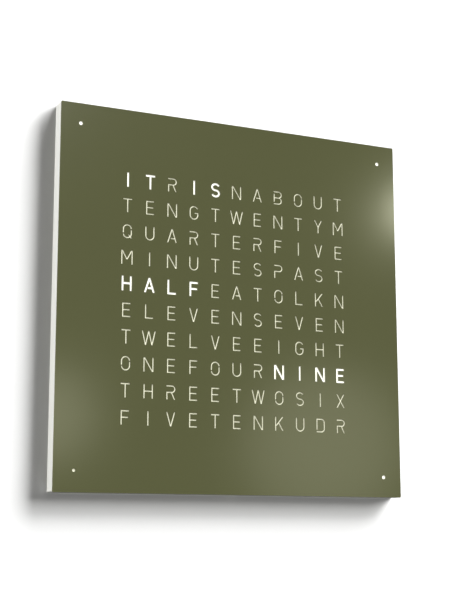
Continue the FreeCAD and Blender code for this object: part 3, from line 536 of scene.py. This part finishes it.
def letter_i(p):
    p.upright(0, -p.t, p.t)


def letter_k(p):
    w = 5.75
    p.upright(-w + p.h, -p.t, p.t)
    p.slant(-w + 1.6, -2.2, w - 1.2, p.t)
    p.slant(w - 1.1, -p.t, -1.1, 1.4)


def letter_l(p):
    w = 5.0
    p.upright(-w + p.h, -p.t, p.t)
    p.across(-w, w, -p.m)


def letter_m(p):
    w = 7.05
    p.upright(-w + p.h, -p.t, p.t)
    p.upright(w - p.h, -p.t, p.t)
    p.slant(0, -2.6, -w + 1.2, p.t)
    p.slant(0, -2.6, w - 1.2, p.t)


def letter_n(p):
    w = 6.2
    p.upright(-w + p.h, -p.t, p.t)
    p.upright(w - p.h, -p.t, p.t)
    p.slant(w - 1.1, -p.t, -w + 1.1, p.t)


def letter_o(p):
    """A bridge low on the left and one high on the right hold the middle."""
    r = 5.65 - p.h
    z = p.m - r
    p.curve(0, z, r, r, 5, 180)
    p.curve(0, -z, r, r, 185, 360)
    p.upright(-r, -z + 0.7, z)
    p.upright(r, -z, z - 0.7)


def letter_p(p):
    """The bowl hangs free of the stem's upper half."""
    w = 5.6
    low = 0.2
    r = (p.m - low) / 2
    x = w - p.h - r
    p.across(-w, x, p.m)
    p.across(-w, x, low)
    p.curve(x, low + r, r, r, -90, 90)
    p.upright(-w + p.h, -p.t, low + p.h)


def letter_q(p):
    letter_o(p)
    p.slant(5.0, -p.t, 1.7, -3.9)


def letter_r(p):
    letter_p(p)
    p.slant(4.6, -p.t, 0.7, 0.2)


def letter_s(p):
    w = 5.3
    r = w - p.h
    half = p.m / 2
    p.curve(0, half, r, half, 28, 270)
    p.curve(0, -half, r, half, -152, 90)


def letter_t(p):
    p.upright(0, -p.t, p.t)
    p.across(-5.5, 5.5, p.m)


def letter_u(p):
    r = 5.8 - p.h
    p.curve(0, r - p.m, r, r, 180, 360)
    p.upright(-r, r - p.m, p.t)
    p.upright(r, r - p.m, p.t)


def letter_v(p):
    top = 5.65 - 1.1 * p.h
    p.slant(0, -p.t, -top, p.t)
    p.slant(0, -p.t, top, p.t)


def letter_w(p):
    top = 8.7 - 1.1 * p.h
    p.slant(-top / 2, -p.t, -top, p.t)
    p.slant(-top / 2, -p.t, 0, p.t)
    p.slant(top / 2, -p.t, 0, p.t)
    p.slant(top / 2, -p.t, top, p.t)


def letter_x(p):
    side = 5.6 - 1.1 * p.h
    p.slant(-side, -p.t, side, p.t)
    p.slant(side, -p.t, -side, p.t)


def letter_y(p):
    top = 5.6 - 1.1 * p.h
    p.slant(0, -0.6, -top, p.t)
    p.slant(0, -0.6, top, p.t)
    p.upright(0, -p.t, 0)


LETTERS = {
    "A": letter_a, "B": letter_b, "D": letter_d, "E": letter_e, "F": letter_f, "G": letter_g,
    "H": letter_h, "I": letter_i, "K": letter_k, "L": letter_l, "M": letter_m, "N": letter_n,
    "O": letter_o, "P": letter_p, "Q": letter_q, "R": letter_r, "S": letter_s, "T": letter_t,
    "U": letter_u, "V": letter_v, "W": letter_w, "X": letter_x, "Y": letter_y,
}


def letter_outlines(letter, x, z, grow=0.0):
    """The slots of one letter in metres on the cover, each one an outline."""
    sizes = bpy.context.scene.word_clock_letters
    pen = Pen(sizes.stroke / MM, sizes.cap_height / MM, grow / MM)
    LETTERS[letter](pen)
    return [[Vector((x + a * MM, z + b * MM)) for a, b in outline] for outline in pen.outlines]


def round_outline(x, z, radius, steps=DOT_STEPS):
    angles = [2 * math.pi * i / steps for i in range(steps)]
    return [Vector((x + radius * math.cos(t), z + radius * math.sin(t))) for t in angles]


def rounded_square(half, radius):
    """The cover's edge, with its corners rounded."""
    points = []
    for quarter, (sx, sz) in enumerate(((1, 1), (-1, 1), (-1, -1), (1, -1))):
        for step in range(CORNER_STEPS + 1):
            angle = math.radians(90 * (quarter + step / CORNER_STEPS))
            points.append(Vector((sx * (half - radius) + radius * math.cos(angle),
                                  sz * (half - radius) + radius * math.sin(angle))))
    return points


def outline_distance(point, outline):
    """Distance from a point to the area of an outline, 0 inside it."""
    best = None
    crossings = 0
    for a, b in zip(outline, outline[1:] + outline[:1]):
        side = b - a
        share = max(0.0, min(1.0, (point - a).dot(side) / max(side.length_squared, 1e-18)))
        gap = (point - (a + side * share)).length
        best = gap if best is None else min(best, gap)
        if (a.y > point.y) != (b.y > point.y):
            if point.x < a.x + (point.y - a.y) * side.x / side.y:
                crossings += 1
    return 0.0 if crossings % 2 else best


def painted_glow_at(point, lights):
    """How strongly the painted glow of the lit slots near a point shows on the coat, from 0 to 1."""
    sizes = bpy.context.scene.word_clock_letters
    nearest = sizes.painted_glow_reach
    for centre, reach, outlines, core in lights:
        if (point - centre).length > reach:
            continue
        for outline in outlines:
            nearest = min(nearest, outline_distance(point, outline) - core + sizes.painted_glow_core)
    if nearest <= sizes.painted_glow_core:
        return 1.0
    share = (nearest - sizes.painted_glow_core) / (sizes.painted_glow_reach - sizes.painted_glow_core)
    return max(0.0, 1.0 - share) ** PAINTED_GLOW_FALL


def cover_mesh():
    """The cover as one sheet: slots and dots cut out, with rings of points round the lit ones to carry their
    painted glow.
    """
    sizes = bpy.context.scene.word_clock_letters
    low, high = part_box("front_cover")
    half = (high.x - low.x) / 2
    edge = rounded_square(half, COVER_CORNER)
    slots = []
    rings = []
    # Each slot that paints glow on the coat is its centre, how far its painted glow reaches, its outlines
    # and its glow's core.
    lights = []
    steps = [sizes.painted_glow_core + (sizes.painted_glow_reach - sizes.painted_glow_core) * share for share in PAINTED_GLOW_RINGS]
    for row, letters in enumerate(ROWS):
        for column, letter in enumerate(letters):
            x, z = letter_place(row, column)
            outlines = letter_outlines(letter, x, z)
            slots += outlines
            if is_lit(row, column):
                lights.append((Vector((x, z)), LETTER_PAINTED_GLOW_REACH, outlines, sizes.painted_glow_core))
                for step in steps:
                    rings += letter_outlines(letter, x, z, step)
    for x, z, lit in dot_places():
        dot = round_outline(x, z, sizes.dot_diameter / 2)
        slots.append(dot)
        if lit:
            lights.append((Vector((x, z)), DOT_PAINTED_GLOW_REACH, [dot], DOT_CORE_SHARE * sizes.painted_glow_core))
            spare = (1 - DOT_CORE_SHARE) * sizes.painted_glow_core
            rings += [round_outline(x, z, sizes.dot_diameter / 2 + step - spare) for step in steps]
    points = []
    faces = []
    for outline in [edge] + slots + rings:
        faces.append(list(range(len(points), len(points) + len(outline))))
        points += outline
    flat, _, triangles, _, _, owners = delaunay_2d_cdt(points, [], faces, 0, COVER_SLACK, True)
    slot_range = range(1, 1 + len(slots))
    kept = [t for t, own in zip(triangles, owners) if 0 in own and not any(o in slot_range for o in own)]
    return sheet_between(flat, kept, low.y, high.y, lights)


def sheet_between(flat, triangles, y_front, y_rear, lights):
    """A closed sheet from flat triangles: front, rear and the walls of every edge."""
    mesh = bpy.data.meshes.new("letter_cover")
    work = bmesh.new()
    used = sorted({i for t in triangles for i in t})
    front = {i: work.verts.new((flat[i].x, y_front, flat[i].y)) for i in used}
    rear = {i: work.verts.new((flat[i].x, y_rear, flat[i].y)) for i in used}
    # Every triangle's sides, in order. A side that no neighbour has the other way round is an edge.
    sides = {}
    for t in triangles:
        work.faces.new([front[i] for i in t])
        work.faces.new([rear[i] for i in reversed(t)])
        sides.update(dict.fromkeys(zip(t, t[1:] + t[:1])))
    for a, b in sides:
        if (b, a) not in sides:
            work.faces.new([front[b], front[a], rear[a], rear[b]]).material_index = 1
    work.verts.index_update()
    work.to_mesh(mesh)
    # Painted glow on the front face: how much light the coat itself gives off beside the lit slots.
    glow = mesh.attributes.new("glow", "FLOAT", "POINT")
    for i in used:
        glow.data[front[i].index].value = painted_glow_at(flat[i], lights)
    work.free()
    mesh.validate()
    return mesh


class WORDCLOCK_OT_cover(bpy.types.Operator):
    """Cuts the letters and dots into the powder-coated front cover"""
    bl_idname = "word_clock.cover"
    bl_label = "Front cover"

    def execute(self, context):
        cover = new_object("letter_cover", cover_mesh())
        cover.data.materials.append(olive_powder_coat())
        cover.data.materials.append(laser_cut_edge())
        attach(cover, "cover")
        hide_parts("front_cover")
        return {"FINISHED"}


# Screws

def screw_head(name, head, depth, shank, total):
    """A countersunk screw with a cross recess, its flat face at z = 0 and its tip below."""
    mesh = bpy.data.meshes.new(name)
    work = bmesh.new()
    arm = head * RECESS_ARM
    slot = head * RECESS_SLOT
    sink = depth * RECESS_DEPTH
    sides = SCREW_SIDES
    rim = round_outline(0, 0, head / 2, sides)
    cross = [Vector(p) for p in (
        (arm, -slot), (arm, slot), (slot, slot), (slot, arm), (-slot, arm), (-slot, slot),
        (-arm, slot), (-arm, -slot), (-slot, -slot), (-slot, -arm), (slot, -arm), (slot, -slot))]
    points = rim + cross
    faces = [list(range(sides)), list(range(sides, sides + len(cross)))]
    flat, _, triangles, _, _, owners = delaunay_2d_cdt(points, [], faces, 0, SCREW_SLACK, True)
    top = [work.verts.new((p.x, p.y, 0)) for p in flat]
    floor = {}
    for t, own in zip(triangles, owners):
        if 1 in own:
            for i in t:
                if i not in floor:
                    floor[i] = work.verts.new(
                        (flat[i].x * RECESS_FLOOR, flat[i].y * RECESS_FLOOR, -sink))
            work.faces.new([floor[i] for i in t])
        else:
            work.faces.new([top[i] for i in t])
    for i in range(sides, len(points)):
        j = i + 1 if i + 1 < len(points) else sides
        work.faces.new([top[i], top[j], floor[j], floor[i]])
    rings = [top[:sides]]
    for z in (-depth, -total):
        rings.append([work.verts.new((p.x, p.y, z)) for p in round_outline(0, 0, shank / 2, sides)])
    for upper, lower in zip(rings, rings[1:]):
        for i in range(sides):
            work.faces.new([upper[i], lower[i], lower[(i + 1) % sides], upper[(i + 1) % sides]])
    work.faces.new(rings[-1][::-1])
    bmesh.ops.recalc_face_normals(work, faces=work.faces)
    work.to_mesh(mesh)
    work.free()
    return mesh


def screw_tree(name, template, material):
    """Puts a screw on every point, each turned by its own seeded angle."""
    tree = bpy.data.node_groups.new(name, "GeometryNodeTree")
    face = tree.interface
    face.new_socket("Geometry", in_out="INPUT", socket_type="NodeSocketGeometry")
    face.new_socket("Lean", in_out="INPUT", socket_type="NodeSocketVector")
    face.new_socket("Seed", in_out="INPUT", socket_type="NodeSocketInt")
    face.new_socket("Geometry", in_out="OUTPUT", socket_type="NodeSocketGeometry")
    start = add(tree, "NodeGroupInput")
    screw = add(tree, "GeometryNodeObjectInfo", {"Object": template})
    # Input 3 is the largest value of a float. It shares its name with those of other kinds.
    turn = add(tree, "FunctionNodeRandomValue", {"Seed": start.outputs["Seed"], 3: math.pi},
               data_type="FLOAT")
    spin = add(tree, "ShaderNodeCombineXYZ", {"Z": turn.outputs[1]})
    placed = add(tree, "GeometryNodeInstanceOnPoints", {
        "Points": start.outputs["Geometry"], "Instance": screw.outputs["Geometry"],
        "Rotation": start.outputs["Lean"]})
    turned = add(tree, "GeometryNodeRotateInstances", {
        "Instances": placed.outputs["Instances"], "Rotation": spin.outputs["Vector"]})
    real = add(tree, "GeometryNodeRealizeInstances", {"Geometry": turned.outputs["Instances"]})
    dressed = add(tree, "GeometryNodeSetMaterial", {
        "Geometry": real.outputs["Geometry"], "Material": material})
    add(tree, "NodeGroupOutput", {"Geometry": dressed.outputs["Geometry"]})
    return tree


def placed_screws(name, template_mesh, places, lean, seed, material):
    """A plain mesh of all the screws, made by the tree above."""
    template = bpy.data.objects.new(name + "_template", template_mesh)
    tree = screw_tree(name + "_tree", template, material)
    holder = new_object(name + "_points", bpy.data.meshes.new(name + "_points"))
    holder.data.from_pydata(places, [], [])
    modifier = holder.modifiers.new("screws", "NODES")
    modifier.node_group = tree
    values = {"Lean": lean, "Seed": seed}
    for item in tree.interface.items_tree:
        if item.in_out == "INPUT" and item.name in values:
            modifier[item.identifier] = values[item.name]
    bpy.context.view_layer.update()
    evaluated = holder.evaluated_get(bpy.context.evaluated_depsgraph_get())
    mesh = bpy.data.meshes.new_from_object(evaluated)
    mesh.name = name
    holder.modifiers.remove(modifier)
    bpy.data.objects.remove(holder)
    bpy.data.objects.remove(template)
    return new_object(name, mesh)


def island_centres(node):
    """The middle of each separate solid of a CAD node, in its own order."""
    work = bmesh.new()
    work.from_mesh(frame["nodes"][node].data)
    bmesh.ops.remove_doubles(work, verts=work.verts, dist=SOLID_SLACK)
    seen = set()
    centres = []
    for vert in work.verts:
        if vert in seen:
            continue
        stack = [vert]
        seen.add(vert)
        island = []
        while stack:
            current = stack.pop()
            island.append(current.co.copy())
            for edge in current.link_edges:
                other = edge.other_vert(current)
                if other not in seen:
                    seen.add(other)
                    stack.append(other)
        low = Vector(min(p[i] for p in island) for i in range(3))
        high = Vector(max(p[i] for p in island) for i in range(3))
        centres.append((low + high) / 2)
    work.free()
    return sorted(centres, key=lambda c: (round(c.x, 5), round(c.z, 5)))


class WORDCLOCK_OT_panel_screws(bpy.types.Operator):
    """Puts cross-recess screws into the rear panel's countersunk holes"""
    bl_idname = "word_clock.panel_screws"
    bl_label = "Rear panel screws"

    def execute(self, context):
        tip, rear = (corner.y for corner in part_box("panel_screws"))
        places = [(c.x, rear, c.z) for c in island_centres("panel_screws")]
        template = screw_head("panel_screw", SCREW_HEAD, SCREW_SINK, SCREW_SHANK, rear - tip)
        facing_rear = (-math.pi / 2, 0.0, 0.0)
        screws = placed_screws("panel_screw_set", template, places, facing_rear, SCREW_SEED,
                               zinc_plated_steel())
        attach(screws, "case")
        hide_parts("panel_screws")
        return {"FINISHED"}


class WORDCLOCK_OT_finishes(bpy.types.Operator):
    """Gives every CAD node the finish of its material slot"""
    bl_idname = "word_clock.finishes"
    bl_label = "Finishes"

    def execute(self, context):
        # A box round a lit dot's disc need only stay clear of the other three.
        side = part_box("corner_boards")[1].x / 2
        lit_corners = [(x, z, side, side) for x, z, lit in dot_places() if lit]
        makers = {
            "olive_powder_coat": olive_powder_coat, "white_lacquer": cream_lacquer,
            "panel_paint": panel_paint, "zinc_steel": zinc_plated_steel, "brass": turned_brass,
            "magnet_nickel": nickel_plate, "white_abs": white_abs, "board_white": white_solder_mask,
            "board_green": green_solder_mask, "led_resin": phosphor_resin,
            "black_plastic": black_thermoplastic, "lead_jacket": grey_pvc, "button_grey": button_plastic}
        made = {slot: maker() for slot, maker in makers.items()}
        made["opal_acrylic"] = opal_acrylic("opal_acrylic_sheet", word_boxes())
        slots = {entry["node"]: entry["material_slot"] for entry in frame["record"]["subparts"]}
        for node, piece in frame["nodes"].items():
            piece.data.materials.clear()
            piece.data.materials.append(made[slots[node]])
        discs = frame["nodes"]["corner_discs"]
        discs.data.materials.clear()
        discs.data.materials.append(opal_acrylic("opal_acrylic_discs", lit_corners))
        return {"FINISHED"}


# Stage

def backdrop_material():
    """Pale grey paint that its own lamps bring to white, with the clock's shadow; clear from behind."""
    material, tree = blank_material("white_wall")
    paint = add(tree, "ShaderNodeBsdfDiffuse", {"Color": linear("#DADADA") + (1.0,)})
    clear = add(tree, "ShaderNodeBsdfTransparent")
    back = add(tree, "ShaderNodeNewGeometry").outputs["Backfacing"]
    mix = add(tree, "ShaderNodeMixShader", {0: back, 1: paint.outputs[0], 2: clear.outputs[0]})
    add(tree, "ShaderNodeOutputMaterial", {"Surface": mix.outputs[0]})
    return material


def floor_material():
    """Matt floor, a little warmer than white."""
    material, tree = blank_material("pale_floor")
    paint = add(tree, "ShaderNodeBsdfDiffuse", {"Color": FLOOR_COLOUR})
    add(tree, "ShaderNodeOutputMaterial", {"Surface": paint.outputs[0]})
    return material


def plane(name, points, material):
    """A flat piece of the stage, which isn't part of the clock."""
    mesh = bpy.data.meshes.new(name)
    mesh.from_pydata(points, [], [tuple(range(len(points)))])
    mesh.materials.append(material)
    piece = new_object(name, mesh)
    # The stage takes shadows but throws no light back, so only lamps and world light the clock.
    piece.visible_diffuse = False
    piece.visible_glossy = False
    piece.visible_shadow = False
    return piece


def lamp(name, place, target, size, energy):
    """A soft round lamp aimed at a point."""
    data = bpy.data.lights.new(name, "AREA")
    data.shape = "DISK"
    data.size = size
    data.energy = energy
    light = bpy.data.objects.new(name, data)
    light.location = place
    light.rotation_mode = "QUATERNION"
    light.rotation_quaternion = (Vector(target) - Vector(place)).to_track_quat("-Z", "Y")
    bpy.context.scene.collection.objects.link(light)
    return light


def receivers(name, pieces, state):
    """A light-linking group that holds only these pieces, or all but them."""
    group = bpy.data.collections.new(name)
    for piece in pieces:
        group.objects.link(piece)
    for member in group.collection_objects:
        member.light_linking.link_state = state
    return group


def sun(name, azimuth, elevation, strength, width, group):
    """A distant lamp: azimuth 0 stands before the clock, 90 on its right, all in degrees."""
    data = bpy.data.lights.new(name, "SUN")
    data.energy = strength
    data.angle = math.radians(width)
    light = bpy.data.objects.new(name, data)
    light.rotation_mode = "QUATERNION"
    way = direction(math.radians(azimuth), math.radians(elevation))
    light.rotation_quaternion = way.to_track_quat("Z", "Y")
    bpy.context.scene.collection.objects.link(light)
    light.light_linking.receiver_collection = group


def direction(azimuth, elevation):
    """The way from the clock out to an azimuth and elevation."""
    return Vector((math.sin(azimuth) * math.cos(elevation), -math.cos(azimuth) * math.cos(elevation),
                   math.sin(elevation)))


def sheen_lamp(name, camera, spot, size, energy):
    """A lamp placed where the cover mirrors it to the camera at one spot (x, z)."""
    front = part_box("front_cover")[0].y
    point = Vector((spot[0], front, spot[1]))
    ray = (point - camera).normalized()
    ray.y = -ray.y
    light = lamp(name, point + ray * SHEEN_DISTANCE, point, size, energy)
    light.data.color = SHEEN_TINT


class WORDCLOCK_OT_stage(bpy.types.Operator):
    """Sets up the wall, floor, lamps and camera"""
    bl_idname = "word_clock.stage"
    bl_label = "Stage"

    def execute(self, context):
        scene = context.scene
        values = scene.word_clock_stage
        scene.view_settings.view_transform = "Standard"
        r = STAGE_REACH
        wall = plane("wall", [(-r, WALL_GAP, FLOOR_Z), (r, WALL_GAP, FLOOR_Z), (r, WALL_GAP, r),
                              (-r, WALL_GAP, r)], backdrop_material())
        floor = plane("floor", [(-r, -r, FLOOR_Z), (r, -r, FLOOR_Z), (r, r, FLOOR_Z), (-r, r, FLOOR_Z)],
                      floor_material())
        on_stage = receivers("stage_only", (wall, floor), "INCLUDE")
        on_clock = receivers("clock_only", (wall, floor), "EXCLUDE")
        camera = Vector(values.camera_place)
        # Azimuth and elevation, strength and width. The key is broad, and stands away from where the
        # cover would mirror it to the camera.
        sun("key", -10, 40, values.key, 60, on_clock)
        sun("right_fill", 75, 15, values.right_fill, 60, on_clock)
        sun("shadow_near", 56, 23, values.wall_near, 32, on_stage)
        sun("shadow_far", 66, 50, values.wall_far, 40, on_stage)
        sun("floor_bounce", 30, -50, values.wall_low, 30, on_stage)
        sun("side_fill", -88, 5, values.side_fill, 12, on_clock)
        # Glances off the left side towards the camera, from behind the wall's plane.
        sun("side_sheen", -155, 12, values.side_sheen, 40, on_clock)
        sun("rear_fill", 165, 25, values.rear_fill, 40, on_clock)
        sheen_lamp("sheen_right", camera, (0.264, 0.149), 0.12, 1.45)
        sheen_lamp("sheen_left", camera, (-0.235, -0.141), 0.26, 0.54)
        sheen_lamp("sheen_low", camera, (0.115, -0.165), 0.45, 0.97)
        world = bpy.data.worlds.new("studio")
        world.use_nodes = True
        tree = world.node_tree
        tree.nodes.clear()
        # White for camera and transmission rays, and the dim ambient level for all others.
        path = add(tree, "ShaderNodeLightPath").outputs
        seen = add(tree, "ShaderNodeMath", {0: path["Is Camera Ray"], 1: path["Is Transmission Ray"]},
                   operation="MAXIMUM")
        level = add(tree, "ShaderNodeMapRange", {
            "Value": seen.outputs[0], "To Min": values.ambient, "To Max": 1.0})
        sky = add(tree, "ShaderNodeBackground", {"Color": WHITE, "Strength": level.outputs["Result"]})
        add(tree, "ShaderNodeOutputWorld", {"Surface": sky.outputs[0]})
        scene.world = world
        data = bpy.data.cameras.new("camera")
        data.lens = values.lens
        data.sensor_width = SENSOR_WIDTH
        view = bpy.data.objects.new("camera", data)
        view.location = camera
        view.rotation_mode = "QUATERNION"
        view.rotation_quaternion = direction(values.azimuth, values.elevation).to_track_quat("Z", "Y")
        scene.collection.objects.link(view)
        scene.camera = view
        return {"FINISHED"}


class WORDCLOCK_PT_panel(bpy.types.Panel):
    bl_idname = "WORDCLOCK_PT_panel"
    bl_label = "Word Clock"
    bl_space_type = "VIEW_3D"
    bl_region_type = "UI"
    bl_category = "Word Clock"

    def draw(self, context):
        for operator in OPERATORS:
            self.layout.operator(operator.bl_idname)
        for name in PROPERTY_GROUPS:
            values = getattr(context.scene, name)
            for key in values.bl_rna.properties.keys():
                if key not in ("rna_type", "name"):
                    self.layout.prop(values, key)


PROPERTY_GROUPS = {
    "word_clock_letters": WordClockLetters,
    "word_clock_finishes": WordClockFinishes,
    "word_clock_stage": WordClockStage,
}
OPERATORS = (WORDCLOCK_OT_finishes, WORDCLOCK_OT_cover, WORDCLOCK_OT_panel_screws, WORDCLOCK_OT_stage)


def register():
    for name, group in PROPERTY_GROUPS.items():
        bpy.utils.register_class(group)
        setattr(bpy.types.Scene, name, bpy.props.PointerProperty(type=group))
    for operator in OPERATORS:
        bpy.utils.register_class(operator)
    bpy.utils.register_class(WORDCLOCK_PT_panel)


def unregister():
    bpy.utils.unregister_class(WORDCLOCK_PT_panel)
    for operator in reversed(OPERATORS):
        bpy.utils.unregister_class(operator)
    for name, group in PROPERTY_GROUPS.items():
        delattr(bpy.types.Scene, name)
        bpy.utils.unregister_class(group)


def main():
    register()
    bpy.ops.word_clock.finishes()
    bpy.ops.word_clock.cover()
    bpy.ops.word_clock.panel_screws()
    bpy.ops.word_clock.stage()


if __name__ == "__main__":
    main()
